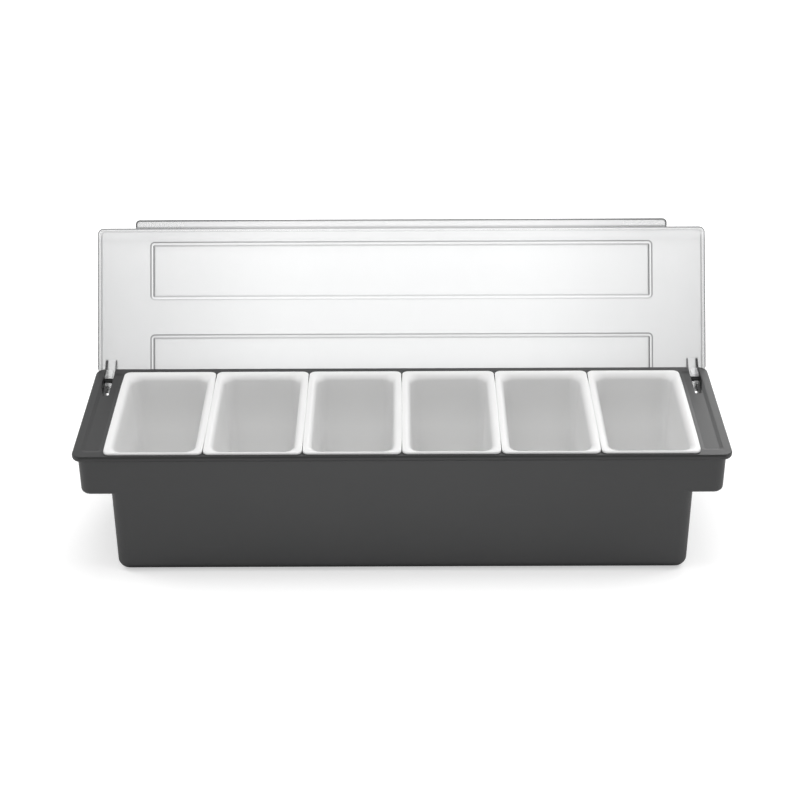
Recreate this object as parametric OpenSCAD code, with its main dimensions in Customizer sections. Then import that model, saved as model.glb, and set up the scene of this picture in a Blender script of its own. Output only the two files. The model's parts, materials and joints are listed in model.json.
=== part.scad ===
// Condiment caddy: a stepped tub with two end wings, a top frame that carries
// six lift-out inserts side by side, and one full-length lid hinged at the back.
// The origin is on the tub's underside, below the middle of the top frame; X runs
// along the length, Y to the back, Z up. The lid is drawn open, leaning back.

/* [Top frame] */
// Length of the frame, the longest size of the caddy
frame_w = 500; // [460:5:540]
// Depth of the frame, front to back
frame_d = 137; // [137:1:150]
// Height of the frame's top face above the table
frame_h = 108; // [100:1:130]
// Thickness of the frame's plate
plate_t = 3; // [2.5:0.5:4]
// Corner radius of the frame
frame_r = 7.5; // [6.5:0.5:12]
// How far the frame's lip stands out past the tub's walls, at the front and the ends
lip_out = 3.5; // [3.5:0.5:5]
// How far the frame stands out past the tub's back wall
lip_back = 7.5; // [7.5:0.5:8]
// Height of the lip
lip_h = 5.2; // [5.2:0.2:8]
// Depth of the shallow pocket at each end of the frame
pocket_t = 0.5; // [0.2:0.1:1]

/* [Tub] */
// Length of the lower tub
tub_w = 447.6; // [446:0.4:452]
// Wall and floor thickness of the tub
wall = 2.5; // [2:0.5:3]
// Radius of the lower tub's upright corners
tub_r = 9.5; // [8.5:0.5:14]
// Radius round the tub's bottom edge
tub_foot_r = 8; // [4:0.5:8]
// Height of the wings, from their underside to the frame's top face
wing_h = 36.6; // [30:0.2:45]
// Radius of the wings' upright corners
wing_r = 8; // [7:0.5:12]
// Radius round the wings' bottom edge
wing_foot_r = 3.5; // [3:0.5:5]

/* [Inserts] */
// Number of inserts in the row
insert_count = 6; // [6:1:6]
// Distance from one insert to the next
insert_pitch = 75.4; // [75.2:0.1:75.6]
// Gap between the flanges of two inserts
insert_gap = 0.3; // [0.3:0.1:0.8]
// Where the flanges end at the front, behind the frame's front edge
flange_front = 3; // [3:0.2:4]
// Where the flanges end at the back, before the frame's back edge
flange_back = 6.8; // [6.8:0.2:9]
// Thickness of an insert's flange
flange_t = 2; // [1.75:0.25:2.5]
// Radius of the soft edge round the top of a flange
flange_edge = 1.2; // [0.8:0.2:1.6]
// Length of an insert's mouth, left to right
mouth_w = 62; // [60:0.5:62]
// Wall thickness of an insert
insert_wall = 1.7; // [1.5:0.1:2]
// Depth of an insert, from its flange to its underside
insert_deep = 79; // [50:1:90]
// Draft of an insert's walls, in degrees
insert_draft = 1.5; // [1:0.25:2]

/* [Lid] */
// Angle between the closed and the open lid, in degrees
lid_swing = 121; // [115:1:121]
// How far the lid stays inside the frame at each end
lid_inset = 0.4; // [0.4:0.1:0.8]
// Height of the lid's skirt and panel together
lid_h = 9; // [8:0.5:9]
// Thickness of the lid
lid_t = 1.7; // [1.5:0.1:1.7]
// How far the finger lip stands out at the lid's front edge
grip_out = 6.8; // [4:0.2:8]
// Height of the two raised fields on the lid
field_h = 1.2; // [0.6:0.2:1.5]

/* [Hinge] */
// Distance of the hinge axis from the frame's back edge
axis_in = 10.5; // [10.5:0.1:10.6]
// Distance of the hinge axis below the frame's top face
axis_down = 5.4; // [5.4:0.1:5.6]
// Distance of the hinge arms' middle from the caddy's middle
arm_x = 239.6; // [239.5:0.1:239.8]
// Thickness of a hinge arm
arm_t = 5.6; // [5:0.1:6]
// Diameter of a hinge pin
pin_d = 4; // [3.5:0.1:4]

/* [Hidden] */

$fn = 72;
base_grey = "#46474a";
insert_white = "#f3f3f1";
lid_clear = "#e2e6e8";
pin_grey = "#3a3b3d";

// Heights and depths that several pieces share
tub_top = frame_h - plate_t;
tub_d = frame_d - lip_out - lip_back;
tub_y = (lip_out - lip_back) / 2;
tub_back = frame_d / 2 - lip_back;
wing_w = frame_w - 2 * lip_out;
wing_z = frame_h - wing_h;
back_y = frame_d / 2;
front_y = -frame_d / 2;
lip_round = 2.8;
edge_round = 1;
loose = 0.3;

// Hinge: the axis, the slots that the arms pass through and the cheeks that hold the pins
axis_y = back_y - axis_in;
axis_z = frame_h - axis_down;
running_fit = 0.06;
slot_x0 = arm_x - 4.7;
slot_x1 = arm_x + 3.5;
slot_length = 42.5;
slot_narrow = 3.3;
cheek_t = 3.4;
cheek_length = 10;
cheek_r = 2;
cheek_z = frame_h - 20.5;
cheek_in = slot_x0 - cheek_t;
cheek_out = wing_w / 2;
pin_x0 = cheek_in + 0.2;
pin_x1 = cheek_out - 0.6;

// Inserts: the row is centred, and the mouth lies nearer the front than the back
flange_w = insert_pitch - insert_gap;
flange_y0 = front_y + flange_front;
flange_y1 = back_y - flange_back;
flange_r = 3.5;
mouth_y0 = front_y + 8.3;
mouth_y1 = back_y - 15.4;
mouth_d = mouth_y1 - mouth_y0;
mouth_r = 9;
mouth_round = 2.5;
insert_foot_r = mouth_r - tan(insert_draft) * insert_deep - 0.4;
opening_w = (insert_count - 1) * insert_pitch + mouth_w + 2 * insert_wall + 1.2;
opening_y0 = mouth_y0 - insert_wall - 0.7;
opening_y1 = mouth_y1 + insert_wall + 1;
row_w = insert_count * insert_pitch - insert_gap;

// Lid, drawn closed and then turned about the hinge axis
lid_w = frame_w - 2 * lid_inset;
lid_y0 = front_y + 1;
lid_y1 = axis_y + 10;
lid_z0 = frame_h + loose;
lid_z1 = lid_z0 + lid_h;
lid_r = 5;
lid_edge = 2.5;
panel_z = lid_z1 - axis_z - 1;
grip_w = lid_w - 62.6;
grip_r = 3.6;
field_w = lid_w - 84.8;
field_r = 3.6;
field_bevel = 3;
relief_r = norm([axis_in - edge_round, axis_down - edge_round]) + edge_round + 0.45;

// Helpers: shapes with rounded corners

// A rectangle about the origin with rounded corners
module rounded_rectangle(w, d, r) {
    square([w - 2 * r, d], center = true);
    square([w, d - 2 * r], center = true);
    for (x = [-1, 1], y = [-1, 1])
        translate([x * (w / 2 - r), y * (d / 2 - r)]) circle(r);
}

// Carries a side profile round a rectangle. The profile's x runs outwards from the
// corner axes, which stand span_x and span_y apart, and its y runs up.
module carry_round(span_x, span_y) {
    for (turn = [0 : 3]) {
        near = turn % 2 == 0 ? span_x : span_y;
        along = turn % 2 == 0 ? span_y : span_x;
        rotate(turn * 90) {
            translate([near / 2, 0, 0])
                rotate([90, 0, 0]) linear_extrude(along, center = true) children();
            translate([near / 2, along / 2, 0]) rotate_extrude(angle = 90) children();
        }
    }
}

// A box with upright corners of radius r and a bottom edge of radius foot
module foot_box(w, d, r, z0, z1, foot) {
    carry_round(w - 2 * r, d - 2 * r)
        intersection() {
            union() {
                translate([0, z0 + foot]) square([r, z1 - z0 - foot]);
                translate([0, z0]) square([r - foot, z1 - z0]);
                translate([r - foot, z0 + foot]) circle(foot);
            }
            translate([0, z0]) square([r, z1 - z0]);
        }
    translate([r - w / 2, r - d / 2, z0]) cube([w - 2 * r, d - 2 * r, z1 - z0]);
}

// Both ends of the caddy, mirrored
module both_ends() {
    children();
    mirror([1, 0, 0]) children();
}

// Base

// The stepped tub: a deep trough for ice, and a hollow wing at each end
module base_tub() color(base_grey) {
    in_w = tub_w - 2 * wall;
    wing_in_w = wing_w - 2 * wall;
    in_d = tub_d - 2 * wall;
    difference() {
        translate([0, tub_y, 0])
            difference() {
                union() {
                    foot_box(tub_w, tub_d, tub_r, 0, tub_top, tub_foot_r);
                    foot_box(wing_w, tub_d, wing_r, wing_z, tub_top, wing_foot_r);
                }
                foot_box(in_w, in_d, tub_r - wall, wall, tub_top + 1, tub_foot_r - wall);
                foot_box(wing_in_w, in_d, wing_r - wall, wing_z + wall, tub_top + 1, 1);
            }
        // Notches in the back corners, which the hinge cheeks fill
        both_ends()
            translate([cheek_in - loose, tub_back - cheek_length - loose, cheek_z - loose])
                cube([frame_w, frame_d, frame_h]);
    }
}

// Outline of the lip: rounded under, with a soft top edge
module lip_profile() {
    inner = frame_r - lip_out + loose;
    bottom = frame_h - lip_h;
    translate([0, tub_top]) square([frame_r - edge_round, plate_t]);
    translate([inner, bottom]) square([lip_out - loose - lip_round, lip_h]);
    intersection() {
        translate([frame_r - lip_round, bottom + lip_round]) circle(lip_round);
        translate([inner, bottom]) square([lip_out, lip_round]);
    }
    translate([inner, bottom + lip_round]) square([lip_out - loose, lip_h - lip_round - edge_round]);
    intersection() {
        translate([frame_r - edge_round, frame_h - edge_round]) circle(edge_round);
        translate([inner, bottom + lip_round]) square([lip_out, lip_h]);
    }
}

// Slot for one hinge arm, open at the back and drawn in towards the front
module arm_slot() {
    far = axis_y - 14;
    near = back_y - slot_length;
    translate([0, 0, frame_h - lip_h - 1])
        linear_extrude(lip_h + 2)
            polygon([[slot_x0, back_y + 1], [slot_x0, near], [slot_x1 - slot_narrow, near],
                [slot_x1, far], [slot_x1, back_y + 1]]);
}

// The two cheeks that hold a hinge pin, filling the notch in the tub's back corner
module cheeks()
    intersection() {
        for (x = [[cheek_in, slot_x0], [slot_x1, cheek_out]])
            translate([x[0], tub_back - cheek_length, cheek_z])
                cube([x[1] - x[0], cheek_length, tub_top + 1 - cheek_z]);
        translate([0, tub_y, 0]) linear_extrude(frame_h) rounded_rectangle(wing_w, tub_d, cheek_r);
    }

// The shallow pocket between the row of inserts and the lip at one end, with a sloped border
module end_pocket() {
    x0 = row_w / 2 + 0.6;
    x1 = wing_w / 2 - wall;
    y1 = back_y - 7.4;
    slope = 3;
    r = 4.5;
    translate([(x0 + x1) / 2, 0, frame_h - pocket_t]) {
        carry_round(x1 - x0 - 2 * r, 2 * y1 - 2 * r)
            polygon([[0, 0], [r - slope, 0], [r + slope, 2 * pocket_t], [0, 2 * pocket_t]]);
        translate([r - (x1 - x0) / 2, r - y1, 0]) cube([x1 - x0 - 2 * r, 2 * y1 - 2 * r, 2 * pocket_t]);
    }
}

// The frame: a plate with a lip, one long opening for the inserts, and the hinge
module top_frame() color(base_grey) {
    bore_r = pin_d / 2 + 0.01;
    inner_w = wing_w - 2 * wall;
    inner_d = tub_d - 2 * wall;
    difference() {
        union() {
            carry_round(frame_w - 2 * frame_r, frame_d - 2 * frame_r) lip_profile();
            translate([frame_r - frame_w / 2, frame_r - frame_d / 2, tub_top])
                cube([frame_w - 2 * frame_r, frame_d - 2 * frame_r, plate_t]);
            both_ends() cheeks();
            // Locating walls, which drop inside the tub's wings
            difference() {
                translate([0, tub_y, tub_top - 7])
                    linear_extrude(8)
                        difference() {
                            rounded_rectangle(inner_w - 2 * loose, inner_d - 2 * loose, wing_r - wall);
                            square([inner_w - 4, inner_d - 4], center = true);
                        }
                cube([tub_w + 16, frame_d, 3 * frame_h], center = true);
                // Room for the cheeks and for the hooks that turn between them
                both_ends()
                    translate([cheek_in, tub_back - cheek_length - 3, 0]) cube([frame_w, frame_d, tub_top]);
            }
        }
        translate([0, (opening_y0 + opening_y1) / 2, tub_top - 1])
            linear_extrude(plate_t + 2)
                rounded_rectangle(opening_w, opening_y1 - opening_y0, mouth_r);
        both_ends() {
            arm_slot();
            end_pocket();
            // Bore for the pin, open towards the middle of the caddy
            translate([cheek_in - 1, axis_y, axis_z])
                rotate([0, 90, 0]) cylinder(h = pin_x1 + 0.1 - (cheek_in - 1), r = bore_r);
        }
    }
}

// Hinge pin, pushed through the inner cheek into the outer one
module hinge_pin(side) color(pin_grey)
    mirror([side < 0 ? 1 : 0, 0, 0])
        translate([pin_x0, axis_y, axis_z])
            rotate([0, 90, 0]) cylinder(h = pin_x1 - pin_x0, d = pin_d);

// Inserts

// Wall and floor of an insert's bowl, as one profile carried round its mouth. The outer
// profile of the wall is the inner one moved out by the wall thickness.
module bowl_outline(out, z0, foot) {
    top = frame_h + flange_t;
    lean = tan(insert_draft) * (top - z0);
    r = mouth_r + out;
    foot_x = r - lean - foot * (1 - sin(insert_draft)) / cos(insert_draft);
    intersection() {
        union() {
            polygon([[0, z0], [r - lean - foot, z0], [r - lean, z0 + foot], [r, top], [0, top]]);
            translate([foot_x, z0 + foot]) circle(foot);
        }
        translate([0, z0]) square([2 * r, top - z0]);
    }
}

module insert(number) color(insert_white)
    translate([(number - (insert_count + 1) / 2) * insert_pitch, 0, 0]) {
        top = frame_h + flange_t;
        z0 = top - insert_deep;
        middle = (mouth_y0 + mouth_y1) / 2;
        soft = 2 * mouth_round;
        span_x = mouth_w - 2 * mouth_r;
        span_y = mouth_d - 2 * mouth_r;
        translate([0, middle, 0]) {
            carry_round(span_x, span_y)
                difference() {
                    union() {
                        bowl_outline(insert_wall, z0, insert_foot_r + insert_wall);
                        translate([mouth_r, top - flange_t]) square([mouth_round + 1, flange_t]);
                    }
                    bowl_outline(0, z0 + insert_wall, insert_foot_r);
                    // The soft edge between the flange's top and the wall
                    difference() {
                        translate([0, top - mouth_round]) square([mouth_r + mouth_round, mouth_round + 1]);
                        translate([mouth_r + mouth_round, top - mouth_round]) circle(mouth_round);
                    }
                }
            translate([-span_x / 2, -span_y / 2, z0]) cube([span_x, span_y, insert_wall]);
        }
        // The flange, with a soft edge, which rests on the frame
        difference() {
            cover(flange_w, flange_y0, flange_y1, flange_r, frame_h, top, flange_edge);
            translate([0, middle, frame_h - 1])
                linear_extrude(flange_t + 2)
                    rounded_rectangle(mouth_w + soft, mouth_d + soft, mouth_r + mouth_round);
        }
    }

// Lid

// A cover, open below, with a rounded top edge
module cover(w, y0, y1, r, z0, z1, edge) {
    translate([0, (y0 + y1) / 2, z0 + z1])
        mirror([0, 0, 1]) foot_box(w, y1 - y0, r, z0, z1, edge);
}

// One of the two raised fields, with a bevelled border
module field(y0, y1, z) {
    span_x = field_w - 2 * field_r;
    span_y = y1 - y0 - 2 * field_r;
    translate([0, (y0 + y1) / 2, z]) {
        carry_round(span_x, span_y)
            polygon([[0, 0], [field_r, 0], [field_r - field_bevel, field_h], [0, field_h]]);
        translate([-span_x / 2, -span_y / 2, 0]) cube([span_x, span_y, field_h]);
    }
}

// The wide field near the front edge and the narrow one near the hinge
module fields(z) {
    field(axis_y - 114.9, axis_y - 67, z);
    field(axis_y - 38.4, axis_y - 3, z);
}

// Everything that the skirt must leave free, so that the open lid clears the frame
module hinge_relief()
    translate([-frame_w / 2, axis_y, axis_z])
        rotate([90, 0, 90])
            linear_extrude(frame_w)
                union() {
                    circle(relief_r);
                    polygon([[-9.2, -1], [-9.2, axis_down + loose], [1.5, 12.2], [7, 12.2], [7.7, 8.7],
                        [10.4, 10.3], [20, 10.3], [20, -1]]);
                }

// Side view of a hinge arm: a hook that snaps over the pin, mouth down when the lid is closed
module arm_profile() {
    boss_r = 4.8;
    difference() {
        union() {
            circle(boss_r);
            polygon([[-9.3, panel_z], [-9.3, 5.8], [-4.5, -1.6], [4.4, -2], [9.6, 9], [9.6, panel_z]]);
            translate([0.8, -6.6]) square([3.6, 6]);
        }
        circle(pin_d / 2 + running_fit);
        translate([-1.7, -9]) square([3.4, 9]);
        translate([-9, -9]) square([9, 6.4]);
    }
}

// The arm's plan: full thickness before the pin, a slim finger behind it
module arm_plan()
    polygon([[-20, -arm_t / 2], [1.2, -arm_t / 2], [1.7, -1.9], [10, -0.9], [10, 0.9], [1.7, 1.9],
        [1.2, arm_t / 2], [-20, arm_t / 2]]);

module lid_arm() {
    translate([arm_x, axis_y, axis_z]) {
        intersection() {
            rotate([90, 0, 90]) linear_extrude(arm_t, center = true) arm_profile();
            rotate([0, 0, 90]) translate([0, 0, -10]) linear_extrude(30) arm_plan();
        }
        // Gusset under the panel, in front of the arm
        rotate([90, 0, 90])
            linear_extrude(9.2, center = true)
                polygon([[-19, panel_z], [-9.2, 9], [-8, 9], [-8, panel_z]]);
    }
}

module closed_lid() {
    difference() {
        union() {
            cover(lid_w, lid_y0, lid_y1, lid_r, lid_z0, lid_z1, lid_edge);
            fields(lid_z1);
            // Finger lip along the front edge
            translate([0, lid_y0 - grip_out / 2 + 1, lid_z0])
                linear_extrude(lid_t) rounded_rectangle(grip_w, grip_out + 2, grip_r);
        }
        cover(lid_w - 2 * lid_t, lid_y0 + lid_t, lid_y1 - lid_t, lid_r - lid_t, lid_z0 - 1,
            lid_z1 - lid_t, 1);
        fields(lid_z1 - lid_t);
        hinge_relief();
    }
    both_ends() lid_arm();
}

module lid() color(lid_clear)
    translate([0, axis_y, axis_z])
        rotate([-lid_swing, 0, 0]) translate([0, -axis_y, -axis_z]) closed_lid();

base_tub();
top_frame();
insert(1);  // insert_1
insert(2);  // insert_2
insert(3);  // insert_3
insert(4);  // insert_4
insert(5);  // insert_5
insert(6);  // insert_6
lid();
hinge_pin(-1);  // hinge_pin_left
hinge_pin(1);  // hinge_pin_right
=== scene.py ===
# %% [markdown]
# # A condiment caddy, open, on a white table
# A charcoal tub holds ice, a frame lies on top of it, six white inserts hang in the
# frame, and one clear lid is hinged along the back. The solids come from the CAD
# model. This lesson dresses them: it gives each plastic its finish, makes the six
# inserts again with softer edges than the solids have, and lights the whole.

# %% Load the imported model
import json
import math

import bpy
from mathutils import Matrix, Vector


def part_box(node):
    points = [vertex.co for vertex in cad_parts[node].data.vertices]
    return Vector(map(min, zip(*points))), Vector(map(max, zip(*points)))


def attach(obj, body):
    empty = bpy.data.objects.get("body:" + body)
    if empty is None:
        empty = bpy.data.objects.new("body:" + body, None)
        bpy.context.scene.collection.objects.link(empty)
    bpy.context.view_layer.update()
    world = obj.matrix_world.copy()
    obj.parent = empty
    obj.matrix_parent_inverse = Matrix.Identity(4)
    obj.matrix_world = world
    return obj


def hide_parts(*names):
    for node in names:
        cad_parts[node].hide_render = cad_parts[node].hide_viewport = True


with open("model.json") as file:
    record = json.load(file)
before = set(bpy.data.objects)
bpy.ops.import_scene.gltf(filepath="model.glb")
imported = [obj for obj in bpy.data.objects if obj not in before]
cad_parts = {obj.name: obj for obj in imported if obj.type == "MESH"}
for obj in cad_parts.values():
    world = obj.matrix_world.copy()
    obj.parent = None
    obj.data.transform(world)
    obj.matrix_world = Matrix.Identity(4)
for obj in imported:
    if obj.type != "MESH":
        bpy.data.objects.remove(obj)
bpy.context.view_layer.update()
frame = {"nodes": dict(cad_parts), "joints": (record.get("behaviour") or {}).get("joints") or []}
nodes = frame["nodes"]
print("pieces in the model:", sorted(nodes))

# %% [markdown]
# ## Sizes that the finishes and pieces share
# A designer keeps the sizes in one place. The hinge axis and the lid's swing are read
# from the joint, and the outlines from the boxes of the solids, so nothing here has to
# be changed by hand when the model is packed again. All sizes are in metres.

# %% Shared sizes
MM = 0.001
hinge = next(joint for joint in frame["joints"] if joint["name"] == "lid_hinge")
axis_place = Vector(hinge["pos_m"])
lid_swing = math.radians(-hinge["range_deg"][0])
frame_low, frame_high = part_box("top_frame")
tub_low, tub_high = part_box("base_tub")
insert_names = [f"insert_{number}" for number in range(1, 7)]
clear_gap = 0.2 * MM
frame_top = frame_high.z
tub_middle_y = (tub_low.y + tub_high.y) / 2
tub_foot_x = 223.8 * MM
tub_foot_y = (tub_high.y - tub_low.y) / 2
tub_foot_round = 8 * MM
insert_low, insert_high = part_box("insert_1")

# The open lid's own directions: along the panel away from the hinge, and out of its outer face
lid_reach_way = Vector((0, -math.cos(lid_swing), math.sin(lid_swing)))
lid_outer_way = Vector((0, math.sin(lid_swing), math.cos(lid_swing)))
print("hinge axis in mm:", [round(v / MM, 1) for v in axis_place])
print("lid swing in degrees:", round(math.degrees(lid_swing), 1))

# %% [markdown]
# ## The camera
# The photograph was taken from a little above, with a long lens that hardly converges.
# A camera is placed by a look-at rule: the view direction, then the right-hand and the
# upward direction, turned by a slight roll. The numbers come from fitting the edges of
# the frame, the lid and the tub to the photograph, and count from the frame's front edge.

# %% Camera
camera_place = Vector((0.00129, frame_low.y - 1.10645, frame_top + 0.69368))
camera_target = Vector((-0.00137, frame_low.y + 0.0675, frame_top + 0.00987))
camera_roll = math.radians(-0.28)
lens_mm = 77.99

view_way = (camera_target - camera_place).normalized()
level_right = view_way.cross(Vector((0, 0, 1))).normalized()
level_up = level_right.cross(view_way)
right_way = math.cos(camera_roll) * level_right + math.sin(camera_roll) * level_up
up_way = math.cos(camera_roll) * level_up - math.sin(camera_roll) * level_right

camera_data = bpy.data.cameras.new("caddy_camera")
camera_data.sensor_width = 36.0
camera_data.lens = lens_mm
camera = bpy.data.objects.new("caddy_camera", camera_data)
bpy.context.scene.collection.objects.link(camera)
turn = Matrix((right_way, up_way, -view_way)).transposed().to_4x4()
camera.matrix_world = Matrix.Translation(camera_place) @ turn
bpy.context.scene.camera = camera
print("camera distance in m:", round((camera_target - camera_place).length, 3))

# %% [markdown]
# ## Node trees written as sums
# Material and geometry trees get long when every sum is a node placed by hand. This
# class wraps one output socket, so that `1 - mask * 2` adds the Math nodes by itself.
# Every other node comes from `made`, which takes the type, the settings and the inputs.


# %% The class that writes node trees
class Socket:
    """One output of a node tree that takes part in Python sums."""

    def __init__(self, tree, out):
        self.tree = tree
        self.out = out

    def made(self, kind, settings=None, inputs=None, output=0):
        """Adds a node, sets it, links or fills its inputs, and wraps one of its outputs."""
        node = self.tree.nodes.new(kind)
        for name, value in (settings or {}).items():
            setattr(node, name, value)
        for key, value in (inputs or {}).items():
            socket = node.inputs[key]
            if isinstance(value, Socket):
                self.tree.links.new(value.out, socket)
            else:
                socket.default_value = value
        return Socket(self.tree, node.outputs[output])

    def sum(self, operation, first, second=0.0):
        return self.made("ShaderNodeMath", {"operation": operation}, {0: first, 1: second})

    def __add__(self, other):
        return self.sum("ADD", self, other)

    def __radd__(self, other):
        return self.sum("ADD", other, self)

    def __sub__(self, other):
        return self.sum("SUBTRACT", self, other)

    def __rsub__(self, other):
        return self.sum("SUBTRACT", other, self)

    def __mul__(self, other):
        return self.sum("MULTIPLY", self, other)

    def __rmul__(self, other):
        return self.sum("MULTIPLY", other, self)

    def __truediv__(self, other):
        return self.sum("DIVIDE", self, other)

    def __rtruediv__(self, other):
        return self.sum("DIVIDE", other, self)

    def size(self):
        return self.sum("ABSOLUTE", self)

    def least(self, other):
        return self.sum("MINIMUM", self, other)

    def most(self, other):
        return self.sum("MAXIMUM", self, other)

    def step(self, low, high):
        """0 below low, 1 above high, and a smooth turn between them."""
        settings = {"interpolation_type": "SMOOTHSTEP"}
        inputs = {"Value": self, "From Min": low, "From Max": high}
        return self.made("ShaderNodeMapRange", settings, inputs)

    def colour_mix(self, first, second):
        """Colour first where this socket is 0, and colour second where it is 1."""
        inputs = {0: self, 6: first, 7: second}
        return self.made("ShaderNodeMix", {"data_type": "RGBA"}, inputs, output=2)


# %% [markdown]
# ## Starting a finish
# Every finish begins the same way: a Principled shader, and the piece's own Object
# coordinates, which stay with the piece when the lid swings or an insert is lifted.
# Sizes in a pattern are given in millimetres of one wave, since that is how a moulder
# would speak of a texture.


# %% Helpers for the finishes
def new_finish(name, fixed):
    """A material with its Principled shader, its fixed numbers set on the shader's sockets."""
    finish = bpy.data.materials.new(name)
    finish.use_nodes = True
    tree = finish.node_tree
    tree.nodes.clear()
    shader = tree.nodes.new("ShaderNodeBsdfPrincipled")
    output = tree.nodes.new("ShaderNodeOutputMaterial")
    tree.links.new(shader.outputs["BSDF"], output.inputs["Surface"])
    for socket, value in fixed.items():
        shader.inputs[socket].default_value = value
    place = Socket(tree, tree.nodes.new("ShaderNodeTexCoord").outputs["Object"])
    return finish, tree, shader, place


def parts_of(place):
    """The three numbers of a place, as sockets of their own."""
    split = place.made("ShaderNodeSeparateXYZ", None, {"Vector": place}).out.node
    return [Socket(place.tree, split.outputs[letter]) for letter in "XYZ"]


def noise(place, wave_mm, detail=2.0, roughness=0.5):
    """Noise whose waves are about so many millimetres long, from 0 to 1."""
    inputs = {"Vector": place, "Scale": 1 / (wave_mm * MM), "Detail": detail, "Roughness": roughness}
    return place.made("ShaderNodeTexNoise", {"noise_dimensions": "3D"}, inputs)


def relief(place, height, depth_mm):
    """A bump of so many millimetres, as a normal."""
    inputs = {"Height": height, "Distance": depth_mm * MM, "Strength": 1.0}
    return place.made("ShaderNodeBump", None, inputs)


def connect(tree, shader, **links):
    """Links values to the shader's sockets, whose names have _ for a space."""
    for name, value in links.items():
        tree.links.new(value.out, shader.inputs[name.replace("_", " ")])


def dress(name, finish):
    """Puts a finish on a solid of the CAD model."""
    for slot in nodes[name].material_slots:
        slot.material = finish


# %% [markdown]
# ## Charcoal plastic of the tub
# The tub is moulded polypropylene with a fine spark-eroded texture: the mould is
# pitted on purpose, so the surface is satin and hides scratches. Three layers make it:
# slow clouds for the flow of the melt, a fine grain for the pits, and a few long faint
# scuffs where it has been pushed along a counter. Two places get painted shade, darker
# than the light alone makes them: the plate's rounded edge and the tub's rounded foot,
# so each has a mask of its own.

# %% Painted shade on the charcoal pieces
# Painted shade: the black that the masks below lay on the charcoal.
painted_shade_black = (0.004, 0.004, 0.004, 1)


def rim_painted_shade(place):
    """Painted shade: 1 on the rounded edge between the plate's top and the lip's face, all the way
    round.
    """
    place_x, place_y, place_z = parts_of(place)
    past_end = place_x.size() - frame_high.x
    past_front = place_y.size() - frame_high.y
    near_edge = past_end.most(past_front).step(-0.40 * MM, -0.15 * MM)
    return near_edge * (1 - (frame_top - place_z).step(1.3 * MM, 1.8 * MM))


def foot_shade(place):
    """Painted shade: 1 on the tub's rounded lower edge, which sees only its own shadow."""
    place_x, place_y, place_z = parts_of(place)
    past_end = place_x.size() - (tub_foot_x - tub_foot_round)
    past_front = (place_y - tub_middle_y).size() - (tub_foot_y - tub_foot_round)
    past = past_end.most(past_front).most(0)
    drop = (tub_foot_round - place_z).most(0)
    from_centre = past.sum("SQRT", past * past + drop * drop)
    outside = from_centre.step(6.3 * MM, 7.2 * MM)
    return outside * (1 - place_z.step(3 * MM, 8 * MM))


# %% Charcoal finish
def charcoal(name, shade, gloss, grain_mm, grain_depth_mm, painted_shade_mask=None):
    """A charcoal plastic of a given shade and gloss, with its grain, and painted shade where a mask is
    given.
    """
    fixed = {"IOR": 1.49, "Specular IOR Level": 0.5}
    finish, tree, shader, place = new_finish(name, fixed)
    clouds = noise(place, 70, detail=3)
    grain = noise(place, grain_mm, detail=2)
    stretched = place.made("ShaderNodeMapping", None, {"Vector": place, "Scale": (1.0, 14.0, 14.0)})
    scuffs = noise(stretched, 60, detail=6, roughness=0.65).step(0.60, 0.74)
    lightness = clouds * 0.16 + grain * 0.10 + scuffs * 0.05
    dark = (shade * 0.88, shade * 0.89, shade * 0.91, 1)
    light = (shade * 1.18, shade * 1.185, shade * 1.2, 1)
    colour = (lightness * 3.6 - 0.1).colour_mix(dark, light)
    roughness = gloss + clouds * 0.05 + grain * 0.06 - scuffs * 0.03
    # Painted shade: black where the mask is 1.
    if painted_shade_mask:
        colour = painted_shade_mask(place).colour_mix(colour, painted_shade_black)
    normal = relief(place, grain + scuffs * 0.4, grain_depth_mm)
    connect(tree, shader, Base_Color=colour, Roughness=roughness, Normal=normal)
    return finish


# Painted shade on the tub's rounded foot and on the plate's rounded edge.
tub_finish = charcoal("charcoal_tub", 0.050, 0.40, 1.1, 0.02, painted_shade_mask=foot_shade)
frame_finish = charcoal("charcoal_frame", 0.036, 0.38, 1.3, 0.012, painted_shade_mask=rim_painted_shade)
pin_finish = charcoal("charcoal_pin", 0.03, 0.3, 0.8, 0.01)
dress("base_tub", tub_finish)
dress("top_frame", frame_finish)
dress("hinge_pin_left", pin_finish)
dress("hinge_pin_right", pin_finish)
print("charcoal on", ["base_tub", "top_frame", "hinge_pin_left", "hinge_pin_right"])

# %% [markdown]
# ## White plastic of the inserts
# The inserts are smooth white plastic. A clean mould leaves a slight orange-peel, so
# highlights wobble a little. The real inserts look a little greyer near the mouth than
# deep down, and whitest at the flange's front, where the light falls. That light and
# shade is painted into the colour, which follows the height: painted shade near the mouth
# and a painted highlight at the flange's front. The lamps alone give the wall the same
# white from top to bottom.

# %% White finish
flange_low_y = insert_low.y - clear_gap
white_in_painted_shade = (0.80, 0.80, 0.797, 1)
white_in_painted_light = (0.91, 0.91, 0.907, 1)
white_finish, tree, shader, place = new_finish("insert_white", {"IOR": 1.49, "Subsurface Weight": 0.0})
clouds = noise(place, 45, detail=2)
peel = noise(place, 3.5, detail=2)
place_x, place_y, place_z = parts_of(place)
# Painted shade: greyer near the mouth, easing off on the flange.
upper_painted_shade = place_z.step(52 * MM, 92 * MM) - place_z.step(100 * MM, 107 * MM) * 0.2
# Painted highlight along the flange's front.
front_painted_highlight = 1 - (place_y - flange_low_y).step(0.4 * MM, 1.6 * MM)
tone_and_painted_light = 1 - upper_painted_shade * 0.9 + front_painted_highlight * 0.8 + clouds * 0.25
white_colour = tone_and_painted_light.colour_mix(white_in_painted_shade, white_in_painted_light)
white_gloss = 0.30 + clouds * 0.08 + peel * 0.04
connect(tree, shader, Base_Color=white_colour, Roughness=white_gloss, Normal=relief(place, peel, 0.012))
print("white finish made")

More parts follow.
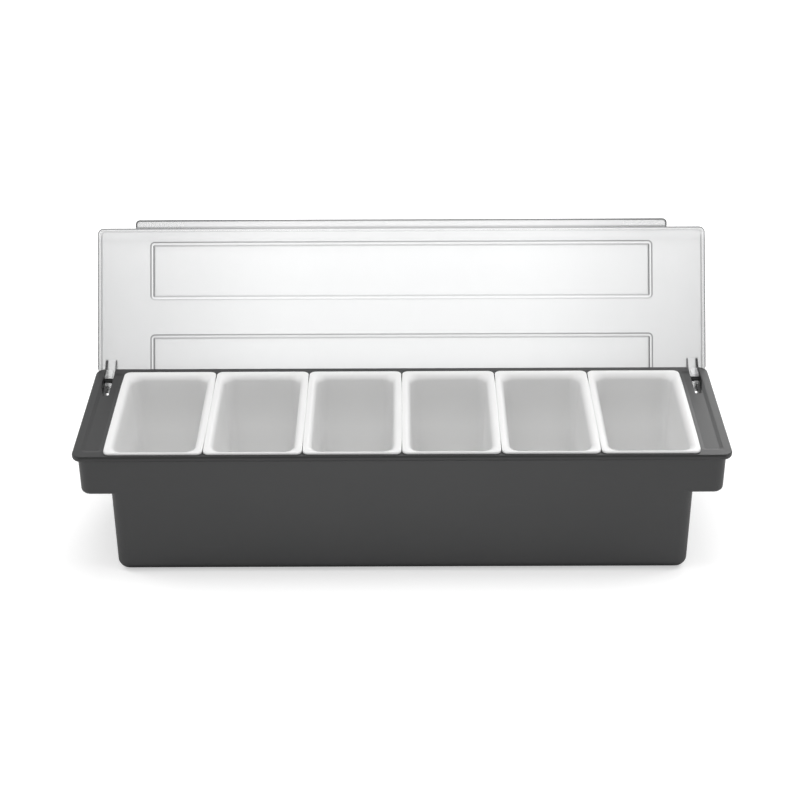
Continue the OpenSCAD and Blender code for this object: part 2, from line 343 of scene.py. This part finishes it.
# %% [markdown]
# ## The shape of an insert
# An insert is a bowl whose wall leans outwards, with a soft floor edge and a flange.
# Seen from above it is at every height a rounded rectangle, so the whole form is a
# list of rounded rectangles from the underside up the outside, over the flange and
# down the inside. That list is a rule, and rules are what Geometry Nodes are for: the
# list is kept as a line of points with attributes, and the tree carries it round.
# First come the sizes: the bowl, its mouth, and the flange with a soft inner rim.

# %% Sizes of an insert
insert_pitch = (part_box("insert_6")[0].x - insert_low.x) / 5
insert_middles = [(number - 3.5) * insert_pitch for number in range(1, 7)]
insert_wall = 1.7 * MM
draft = math.tan(math.radians(1.5))
floor_out = insert_low.z
floor_in = floor_out + insert_wall
foot_out = 7.4 * MM
foot_in = 6.0 * MM

mouth_half = 31.0 * MM
mouth_low_y = frame_low.y + 8.3 * MM
mouth_high_y = frame_high.y - 15.4 * MM
mouth_mid_y = (mouth_low_y + mouth_high_y) / 2
mouth_half_d = (mouth_high_y - mouth_low_y) / 2
mouth_corner = 9.0 * MM
pole_in = mouth_half * 0.98

flange_seam = 0.02 * MM
flange_half = (insert_pitch - flange_seam) / 2
flange_high_y = insert_high.y - 1.0 * MM
flange_corner = 4.2 * MM
flange_under = frame_top
flange_crown = insert_high.z
dome_start = flange_under + 0.55 * MM
dome_share = 0.40
dome_share_front = 0.14
soft_drop = 5.2 * MM
soft_share = 0.59
soft_share_front = 0.85
side_bow = 0.0106
print("pitch of the inserts in mm:", round(insert_pitch / MM, 2))


# %% One outline of the bowl, and one of the flange
def bowl_row(out, z, foot_in=0.0):
    """The bowl's outline at height z, moved out by the wall, and in by foot_in near the floor."""
    move = out - draft * (flange_crown - z) - foot_in
    corner = max(mouth_corner + move, 0.4 * MM)
    return (mouth_half + move, mouth_half_d + move, corner, mouth_mid_y, z, 0.0)


def flange_row(share, z, bow_share, front_share=None, side_share=None):
    """An outline between the mouth, share 0, and the flange's outer edge, share 1."""
    front = share if front_share is None else front_share
    side = share if side_share is None else side_share
    front_y = mouth_low_y + (flange_low_y - mouth_low_y) * front
    back_y = mouth_high_y + (flange_high_y - mouth_high_y) * share
    half_width = mouth_half + (flange_half - mouth_half) * side
    corner = mouth_corner + (flange_corner - mouth_corner) * share
    return (half_width, (back_y - front_y) / 2, corner, (back_y + front_y) / 2, z, side_bow * bow_share)


def quarter_turn(steps, first=0):
    """The sine and cosine at equal steps of a quarter turn."""
    angles = [math.radians(90 * step / steps) for step in range(first, steps + 1)]
    return [(math.sin(angle), math.cos(angle)) for angle in angles]


# %% [markdown]
# ## The rows of the section
# The rows follow the section the way a finger would: from the middle of the underside
# round the foot and up the outer wall, under the flange and round its edge, over the
# crown, down the soft inner rim, and down the inner wall to the middle of the floor. The
# crown is narrower at the front than at the rear, as on the real inserts.


# %% The rows of the section
def outside_rows():
    """From the underside's middle up to the flange."""
    rows = [bowl_row(0, floor_out, pole_in)]
    for share in (0.75, 0.4):
        rows.append(bowl_row(insert_wall, floor_out, mouth_corner * share + foot_out * (1 - share)))
    for sine, cosine in quarter_turn(6):
        rows.append(bowl_row(insert_wall, floor_out + foot_out * (1 - cosine), foot_out * (1 - sine)))
    wall_low = floor_out + foot_out
    for share in (0.1, 0.5, 0.9, 0.985, 1.0):
        rows.append(bowl_row(insert_wall, wall_low + (flange_under - wall_low) * share))
    return rows


def flange_rows():
    """Under the flange, round its edge, over the crown and down the soft inner rim."""
    rows = [flange_row(0.32, flange_under, 0.3), flange_row(0.9, flange_under, 0.9)]
    rows.append(flange_row(0.985, flange_under + 0.05 * MM, 1))
    rows.append(flange_row(1, flange_under + 0.2 * MM, 1))
    rows.append(flange_row(1, dome_start, 1))
    for sine, cosine in quarter_turn(7, first=1):
        height = dome_start + (flange_crown - dome_start) * sine
        inward = 1 - cosine
        side_share = 1 - dome_share * inward**4
        front_share = 1 - dome_share_front * inward
        rows.append(flange_row(1 - dome_share * inward, height, 1, front_share, side_share))
    for sine, cosine in quarter_turn(10, first=1):
        height = flange_crown - soft_drop * (1 - cosine)
        share = soft_share * (1 - sine)
        row = flange_row(share, height, share, soft_share_front * cosine**2)
        lean = draft * (flange_crown - height)
        rows.append((row[0] - lean, row[1] - lean) + row[2:])
    return rows


def inside_rows():
    """Down the inner wall to the floor's middle."""
    wall_high = flange_crown - soft_drop
    wall_low = floor_in + foot_in
    rows = [bowl_row(0, wall_high + (wall_low - wall_high) * share) for share in (0.03, 0.5, 0.97)]
    for sine, cosine in quarter_turn(6):
        rows.append(bowl_row(0, floor_in + foot_in * (1 - sine), foot_in * (1 - cosine)))
    rows.append(bowl_row(0, floor_in, foot_in + 1.2 * MM))
    rows.append(bowl_row(0, floor_in, pole_in))
    return rows


# %% The section as a mesh of points with attributes
section_rows = outside_rows() + flange_rows() + inside_rows()
section_mesh = bpy.data.meshes.new("insert_section")
section_mesh.from_pydata([(row[0], 0, row[4]) for row in section_rows], [], [])
row_names = ["half_width", "half_depth", "corner", "middle", "height", "bow"]
for column, row_name in enumerate(row_names):
    attribute = section_mesh.attributes.new(row_name, "FLOAT", "POINT")
    attribute.data.foreach_set("value", [row[column] for row in section_rows])
print("rows in the section:", len(section_rows))

# %% [markdown]
# ## The tree that carries the section round
# A grid gives the faces: one direction counts the rows of the section, the other the
# points round the outline. The tree first finds out, for each point, which row and which
# quarter of the outline it is in, and how far along that quarter.

# %% The tree's inputs, and each point's row and quarter
round_tree = bpy.data.node_groups.new("rounded_rectangles", "GeometryNodeTree")
interface = round_tree.interface
interface.new_socket("Section", in_out="INPUT", socket_type="NodeSocketGeometry")
interface.new_socket("Corner points", in_out="INPUT", socket_type="NodeSocketInt")
interface.new_socket("Side points", in_out="INPUT", socket_type="NodeSocketInt")
interface.new_socket("Place along X", in_out="INPUT", socket_type="NodeSocketFloat")
interface.new_socket("Finish", in_out="INPUT", socket_type="NodeSocketMaterial")
interface.new_socket("Form", in_out="OUTPUT", socket_type="NodeSocketGeometry")
group_in = round_tree.nodes.new("NodeGroupInput")
group_out = round_tree.nodes.new("NodeGroupOutput")
section_in, corner_points, side_points, place_x, finish_in = [
    Socket(round_tree, group_in.outputs[number]) for number in range(5)
]

row_count = section_in.made(
    "GeometryNodeAttributeDomainSize", {"component": "MESH"}, {"Geometry": section_in}
)
quarter_points = corner_points + side_points
ring_points = quarter_points * 4
grid = section_in.made(
    "GeometryNodeMeshGrid", None, {"Vertices X": ring_points + 1, "Vertices Y": row_count}
)
index = section_in.made("GeometryNodeInputIndex")
row = index.sum("MODULO", index, row_count)
ring = index.sum("FLOOR", (index + 0.5) / row_count)
ring = ring.sum("MODULO", ring + 0.001, ring_points)
quarter = ring.sum("FLOOR", (ring + 0.25) / quarter_points)
inside = ring - quarter * quarter_points
arc_turn = inside.least(corner_points - 1) / (corner_points - 1) * (math.pi / 2)
side_share = (inside - (corner_points - 1)).most(0) / (side_points + 1)

# %% [markdown]
# ## From row and quarter to a place
# Each point looks up its row's numbers and moves to its place on that rounded rectangle.
# The sides bow in a little towards the ends, where the flanges leave small notches
# between them. The first and last column meet, so doubles are merged.
#
# Known fault: the first and the last row should end as a thin slot in the middle of the
# underside and of the floor. pole_in leaves the draft out, so they run almost 2 mm past
# the middle instead. Faces overlap there, and both ends stay open.


# %% Each point's place
def row_value(name):
    """A number of the point's own row, read from the section."""
    settings = {"data_type": "FLOAT", "domain": "POINT"}
    value = section_in.made("GeometryNodeInputNamedAttribute", {"data_type": "FLOAT"}, {"Name": name})
    inputs = {"Geometry": section_in, "Value": value, "Index": row}
    return section_in.made("GeometryNodeSampleIndex", settings, inputs)


half_width, half_depth, corner, middle, height, bow = [row_value(name) for name in row_names]
odd = quarter.sum("MODULO", quarter + 0.25, 2).step(0.9, 1.1)
half_here = half_width + (half_depth - half_width) * odd
half_next = half_depth + (half_width - half_depth) * odd
local_x = (half_here - corner) * (1 - side_share * 2) + corner * corner.sum("COSINE", arc_turn)
local_y = half_next - corner + corner * corner.sum("SINE", arc_turn)
cosine = quarter.sum("COSINE", quarter * (math.pi / 2))
sine = quarter.sum("SINE", quarter * (math.pi / 2))
turned_x = local_x * cosine - local_y * sine
turned_y = local_x * sine + local_y * cosine
away = turned_y / half_depth
away_squared = away * away
away_sixth = away_squared * away_squared * away_squared
bowed_x = turned_x * (1 - bow * away_sixth * (1 + away.most(0) * 0.9))

# %% The finished form
merge_gap = 0.02 * MM
point = section_in.made(
    "ShaderNodeCombineXYZ", None, {"X": bowed_x + place_x, "Y": turned_y + middle, "Z": height}
)
moved = section_in.made("GeometryNodeSetPosition", None, {"Geometry": grid, "Position": point})
closed = section_in.made(
    "GeometryNodeMergeByDistance", None, {"Geometry": moved, "Distance": merge_gap}
)
smooth = section_in.made("GeometryNodeSetShadeSmooth", None, {"Geometry": closed})
real = section_in.made("GeometryNodeRealizeInstances", None, {"Geometry": smooth})
finished = section_in.made("GeometryNodeSetMaterial", None, {"Geometry": real, "Material": finish_in})
round_tree.links.new(finished.out, group_out.inputs["Form"])
print("nodes in the tree:", len(round_tree.nodes))


# %% [markdown]
# ## Making the six inserts
# A modifier runs the tree on the section. Its inputs are set by the identifier of each
# socket. The result is copied to a plain mesh, and the modifier goes, so that what
# moves with the body is a mesh like any other.

# %% Plain meshes from the tree
def baked(name, start_mesh, tree, values):
    """Runs a geometry tree once and returns a new object with the plain mesh."""
    source = bpy.data.objects.new(name + "_source", start_mesh)
    bpy.context.scene.collection.objects.link(source)
    modifier = source.modifiers.new("form", "NODES")
    modifier.node_group = tree
    for item in tree.interface.items_tree:
        if item.in_out == "INPUT" and item.name in values:
            modifier[item.identifier] = values[item.name]
    source.update_tag()
    bpy.context.view_layer.update()
    evaluated = source.evaluated_get(bpy.context.evaluated_depsgraph_get())
    mesh = bpy.data.meshes.new_from_object(evaluated)
    mesh.name = name
    bpy.data.objects.remove(source)
    made = bpy.data.objects.new(name, mesh)
    bpy.context.scene.collection.objects.link(made)
    return made


for insert_name, middle_x in zip(insert_names, insert_middles):
    sizes = {"Corner points": 9, "Side points": 7, "Place along X": middle_x, "Finish": white_finish}
    shell = baked(insert_name + "_shell", section_mesh, round_tree, sizes)
    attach(shell, insert_name)
    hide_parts(insert_name)
print("faces in one insert:", len(shell.data.polygons))

# %% [markdown]
# ## The clear lid
# The lid is clear plastic with a light frost, seen against white. Its flat parts let
# most light through, and its bends look darker, because light that meets them leaves
# sideways. The finish works in the lid's own directions: how far along the caddy, and
# how far up the panel from the hinge.

# %% Places on the lid
lid_finish, tree, shader, place = new_finish("lid_clear", {"IOR": 1.45, "Specular IOR Level": 0.5})
lid_x, lid_y, lid_z = parts_of(place)
along = lid_x.size()
from_axis_y = lid_y - axis_place.y
from_axis_z = lid_z - axis_place.z
reach = from_axis_y * lid_reach_way.y + from_axis_z * lid_reach_way.z
outward = from_axis_y * lid_outer_way.y + from_axis_z * lid_outer_way.z

lid_half = 249.6 * MM
lid_far = 125.5 * MM
grip_half = 218.3 * MM
grip_far = 132.3 * MM
grip_fold_at = 126.2 * MM
below_hinge = -40 * MM
field_half = 207.2 * MM
wide_field = (114.9 * MM, 67.0 * MM)
slim_field = (38.4 * MM, 3.0 * MM)
field_round = 3.6 * MM
lid_round = 5.0 * MM
gusset_outer = 243.3 * MM
gusset_inner = 235.5 * MM
print("reach of the closed lid in mm:", round(lid_far / MM, 1))

# %% [markdown]
# ## Lines on the lid: painted shade and highlights on its bends
# Each bend is a line at a set distance from an outline. The outlines are rectangles with
# round corners, so one rule gives the distance for the lid, the grip and both fields: it
# is below 0 inside, 0 on the outline and above 0 outside.


# %% Rules for a line
def line_at(value, centre, half_line):
    """1 on a line at that value, 0 beside it."""
    return 1 - (value - centre).size().step(half_line * 0.35, half_line)


def rounded_distance(half_wide, far, near, corner):
    """How far outside a rectangle with round corners a point of the lid is, below 0 inside."""
    past_x = along - (half_wide - corner)
    past_y = (reach - (far + near) / 2).size() - ((far - near) / 2 - corner)
    out_x = past_x.most(0)
    out_y = past_y.most(0)
    diagonal = out_x.sum("SQRT", out_x * out_x + out_y * out_y)
    return diagonal + past_x.most(past_y).least(0) - corner


def field_lines(far, near):
    """The bends round a raised field: painted shade as dark lines at both, and a painted highlight
    between them.
    """
    distance = rounded_distance(field_half, far, near, field_round)
    towards_hinge = 1 - (reach - near).step(0.2 * MM, 3.2 * MM)
    towards_end = (along - field_half).step(-3.4 * MM, -2.0 * MM)
    outer = line_at(distance, -0.2 * MM, 0.8 * MM) * (0.85 - towards_hinge * 0.4)
    inner = line_at(distance, -3.0 * MM, 1.15 * MM) * (0.5 + towards_end * 1.3)
    between = line_at(distance, -1.6 * MM, 0.9 * MM)
    return outer.most(inner), between


# %% Painted shade lines of the fields, the rim, the grip and the gussets
wide_dark, wide_light = field_lines(*wide_field)
slim_dark, slim_light = field_lines(*slim_field)
lid_edge = rounded_distance(lid_half, lid_far, below_hinge, lid_round)
grip_edge = rounded_distance(grip_half, grip_far, below_hinge, field_round)
rim_outer = line_at(lid_edge, -0.5 * MM, 1.0 * MM) * (1 - outward.step(6.5 * MM, 7.5 * MM))
rim_inner = line_at(lid_edge, -2.0 * MM, 0.8 * MM) * outward.step(11 * MM, 13 * MM)
rim_inner = rim_inner * (0.6 - reach.step(118 * MM, 122 * MM) * 0.36)
grip_line = line_at(grip_edge, -0.5 * MM, 1.2 * MM) * lid_edge.step(-0.3 * MM, 0.3 * MM)
grip_fold = line_at(reach, grip_fold_at, 0.9 * MM) * (1 - (along - grip_half).step(-2 * MM, 0)) * 0.5
beside_arm = 1 - reach.step(16 * MM, 19 * MM)
gusset = line_at(along, gusset_outer, 1.6 * MM) * 1.3
gusset = gusset.most(line_at(along, gusset_inner, 0.95 * MM) * 1.1) * beside_arm
# Painted shade on the bends, and painted highlights between the dark lines.
painted_bend_shade = wide_dark.most(slim_dark).most(rim_outer).most(rim_inner).most(grip_line)
painted_bend_shade = painted_bend_shade.most(grip_fold).most(gusset)
painted_bend_highlight = wide_light.most(slim_light)

# %% [markdown]
# ## Colour and opacity of the lid
# A line is darker and lets less light through. The flat parts get darker towards both
# ends, as in the photograph, and a little towards the hinge. The opacity stays above a
# third, because at less the denoised render showed faint cracks on the flat parts.

# %% Lid finish
lid_dark = (0.02, 0.022, 0.024, 1)
lid_pale = (0.93, 0.94, 0.945, 1)
haze = noise(place, 60, detail=2)
frost = noise(place, 2.2, detail=2)
# Painted shade: darker towards both ends and a little towards the hinge. top_light paints a lighter band
# just below the top edge, and shade beyond it on the grip.
end_shade = along.step(0.08, 0.27)
low_shade = 1 - reach.step(0.0, 70 * MM)
top_light = reach.step(115 * MM, 120 * MM) * 0.10 - reach.step(123 * MM, 126 * MM) * 0.30
body_light = 0.93 - end_shade * 0.36 - low_shade * 0.02 - painted_bend_shade * 0.50 + painted_bend_highlight * 0.16 + top_light
body_light = body_light + (haze - 0.5) * 0.03
lid_colour = body_light.colour_mix(lid_dark, lid_pale)
lid_alpha = 0.38 + end_shade * 0.05 + painted_bend_shade * 0.30 - painted_bend_highlight * 0.04 + (haze - 0.5) * 0.02
lid_gloss = 0.20 + frost * 0.05 + haze * 0.05
connect(tree, shader, Base_Color=lid_colour, Roughness=lid_gloss, Alpha=lid_alpha)
connect(tree, shader, Normal=relief(place, frost, 0.001))
dress("lid", lid_finish)
print("lid finish made")

# %% [markdown]
# ## Table and backdrop
# The table is white paper that keeps the caddy's soft shadow. A white floor only looks
# white if it gets enough light, so the paper also glows a little for the camera, and
# more so far out, where it runs into the white background.

# %% The sheet
floor_half = 3.0
floor_z = -0.3 * MM
floor_mesh = bpy.data.meshes.new("table_paper")
floor_corners = [(-floor_half, -floor_half), (floor_half, -floor_half)]
floor_corners += [(floor_half, floor_half), (-floor_half, floor_half)]
floor_mesh.from_pydata([(x, y, floor_z) for x, y in floor_corners], [], [(0, 1, 2, 3)])
floor = bpy.data.objects.new("table_paper", floor_mesh)
bpy.context.scene.collection.objects.link(floor)

# %% Paper finish
floor_finish = bpy.data.materials.new("table_paper")
floor_finish.use_nodes = True
tree = floor_finish.node_tree
tree.nodes.clear()
place = Socket(tree, tree.nodes.new("ShaderNodeTexCoord").outputs["Object"])
fibre = noise(place, 2.0, detail=3)
paper = fibre.colour_mix((0.80, 0.80, 0.80, 1), (0.84, 0.84, 0.84, 1))
matt = place.made("ShaderNodeBsdfDiffuse", None, {"Color": paper})
distance = place.made("ShaderNodeVectorMath", {"operation": "LENGTH"}, {0: place}, output="Value")
far_out = distance.step(0.35, 0.9)
floor_x, floor_y, _ = parts_of(place)
# In gloss the paper glows less beside the tub and towards the caddy's ends: painted shade in the tub's
# reflection of the table.
beside_tub = (floor_x.size() - tub_high.x).most(floor_y.size() - tub_high.y)
off_foot = beside_tub.step(0.02, 0.20) * (1 - floor_x.size().step(0.06, 0.26) * 0.85)
path = place.made("ShaderNodeLightPath", None, None, output="Is Camera Ray")
path_node = path.out.node
straight = path.most(Socket(tree, path_node.outputs["Is Transmission Ray"]))
in_gloss = Socket(tree, path_node.outputs["Is Glossy Ray"])
near_glow = straight.most(in_gloss * off_foot * 1.2) * 0.44
far_glow = straight.most(in_gloss) * far_out * 0.56
glow = place.made("ShaderNodeEmission", None, {"Color": (1, 1, 1, 1), "Strength": near_glow + far_glow})
surface = place.made("ShaderNodeAddShader", None, {0: matt, 1: glow})
output = tree.nodes.new("ShaderNodeOutputMaterial")
tree.links.new(surface.out, output.inputs["Surface"])
floor.data.materials.append(floor_finish)
print("floor made")

# %% [markdown]
# ## World and lamps
# White seen by the camera, and in gloss and clear plastic, but a softer grey for the
# light that falls on the caddy. High above, what gloss sees is darker, as a studio's
# ceiling is. Five soft lamps: a large one above, one behind on the right that brightens
# the frame's right end, a weak one on the camera's side, and one at each side that
# reaches the inserts' side walls.

# %% World
world = bpy.data.worlds.new("studio")
bpy.context.scene.world = world
world.use_nodes = True
tree = world.node_tree
tree.nodes.clear()
path_node = tree.nodes.new("ShaderNodeLightPath")
camera_ray = Socket(tree, path_node.outputs["Is Camera Ray"])
seen = camera_ray.most(Socket(tree, path_node.outputs["Is Glossy Ray"]))
seen = seen.most(Socket(tree, path_node.outputs["Is Transmission Ray"]))
ambient = 0.50
way = Socket(tree, tree.nodes.new("ShaderNodeTexCoord").outputs["Generated"])
height = way.made("ShaderNodeSeparateXYZ", None, {"Vector": way}, output="Z")
ceiling = height.step(0.58, 0.80) * Socket(tree, path_node.outputs["Is Glossy Ray"])
strength = (seen * (1.0 - ambient) + ambient) * (1 - ceiling * 0.85)
background = camera_ray.made("ShaderNodeBackground", None, {"Color": (1, 1, 1, 1), "Strength": strength})
output = tree.nodes.new("ShaderNodeOutputWorld")
tree.links.new(background.out, output.inputs["Surface"])


# %% Lamps
def soft_lamp(name, place, target, wide, high, power):
    """A rectangular lamp that looks at a target and isn't seen by the camera."""
    lamp = bpy.data.lights.new(name, "AREA")
    lamp.shape = "RECTANGLE"
    lamp.size = wide
    lamp.size_y = high
    lamp.energy = power
    holder = bpy.data.objects.new(name, lamp)
    bpy.context.scene.collection.objects.link(holder)
    holder.location = place
    holder.rotation_euler = (Vector(target) - Vector(place)).to_track_quat("-Z", "Y").to_euler()
    holder.visible_camera = False
    return holder


lamp_above = soft_lamp("lamp_above", (0.0, 0.0, 1.5), (0, 0, 0.08), 0.8, 0.6, 6.8)
lamp_above.visible_glossy = False
soft_lamp("lamp_behind_right", (0.72, 1.3, 0.86), (0.22, 0, 0.1), 0.9, 0.8, 6.5)
lamp_front = soft_lamp("lamp_front", (-0.05, -1.0, 0.75), (0, 0, 0.05), 0.5, 0.4, 0.6)
lamp_front.visible_glossy = False
for side_name, side in (("left", -1), ("right", 1)):
    lamp_side = soft_lamp("lamp_" + side_name, (side * 0.95, 0.15, 0.95), (0, 0, 0.06), 0.4, 0.4, 2.3)
    lamp_side.visible_glossy = False
bpy.context.scene.view_settings.view_transform = "Standard"
print("lamps made")
